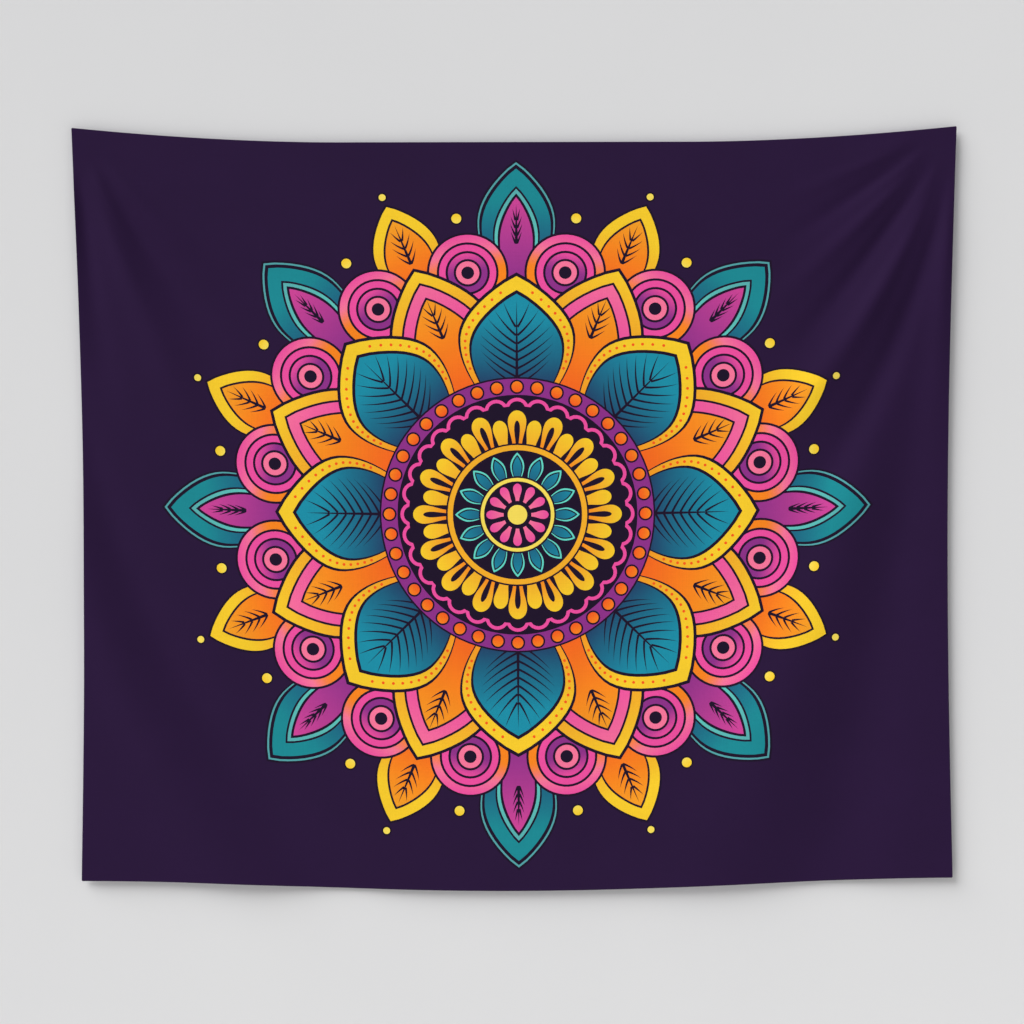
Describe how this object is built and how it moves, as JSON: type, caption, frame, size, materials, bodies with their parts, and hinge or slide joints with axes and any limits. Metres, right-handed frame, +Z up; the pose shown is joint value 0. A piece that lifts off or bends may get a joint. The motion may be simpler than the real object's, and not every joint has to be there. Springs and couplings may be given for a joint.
{
  "type": "tapestry wall hanging",
  "caption": "Rectangular printed cloth hanging with turned hems, hung flat on a wall by two loops on two small adhesive hooks.",
  "frame": {"origin": "on the wall plane, midway between the two hooks, at the height of the middle of their adhesive pads", "axes": "+X to the viewer's right along the top edge, +Y into the wall, +Z up; the printed face looks along -Y"},
  "size_m": [1.528, 0.0225, 1.32],
  "materials": {
    "printed_cloth": "printed satin polyester",
    "header_cloth": "printed satin polyester, doubled",
    "hem_cloth": "turned-in printed polyester",
    "sewing_thread": "twisted polyester thread",
    "loop_tape": "ribbed woven tape",
    "hook_plastic": "moulded, satin",
    "adhesive_foam": "closed-cell foam, matt"
  },
  "bodies": {
    "wall_hooks": {"left_wall_hook": "hook_plastic", "right_wall_hook": "hook_plastic", "left_adhesive_pad": "adhesive_foam", "right_adhesive_pad": "adhesive_foam"},
    "header": {"top_hem": "header_cloth", "top_hem_stitching": "sewing_thread", "left_hanging_loop": "loop_tape", "right_hanging_loop": "loop_tape", "left_loop_bar_tack_outer": "sewing_thread", "left_loop_bar_tack_inner": "sewing_thread", "right_loop_bar_tack_outer": "sewing_thread", "right_loop_bar_tack_inner": "sewing_thread"},
    "cloth": {"printed_panel": "printed_cloth", "left_hem": "hem_cloth", "right_hem": "hem_cloth", "bottom_hem": "hem_cloth", "left_hem_stitching": "sewing_thread", "right_hem_stitching": "sewing_thread", "bottom_hem_stitching": "sewing_thread"}
  },
  "joints": [
    {"name": "lift_off", "type": "slide", "parent": "wall_hooks", "child": "header", "axis": [0, 0, 1], "range_m": [0, 0.014]},
    {"name": "cloth_swing", "type": "hinge", "parent": "header", "child": "cloth", "pos_m": [0, -0.012, -0.0095], "axis": [-1, 0, 0], "range_deg": [0, 60]}
  ]
}
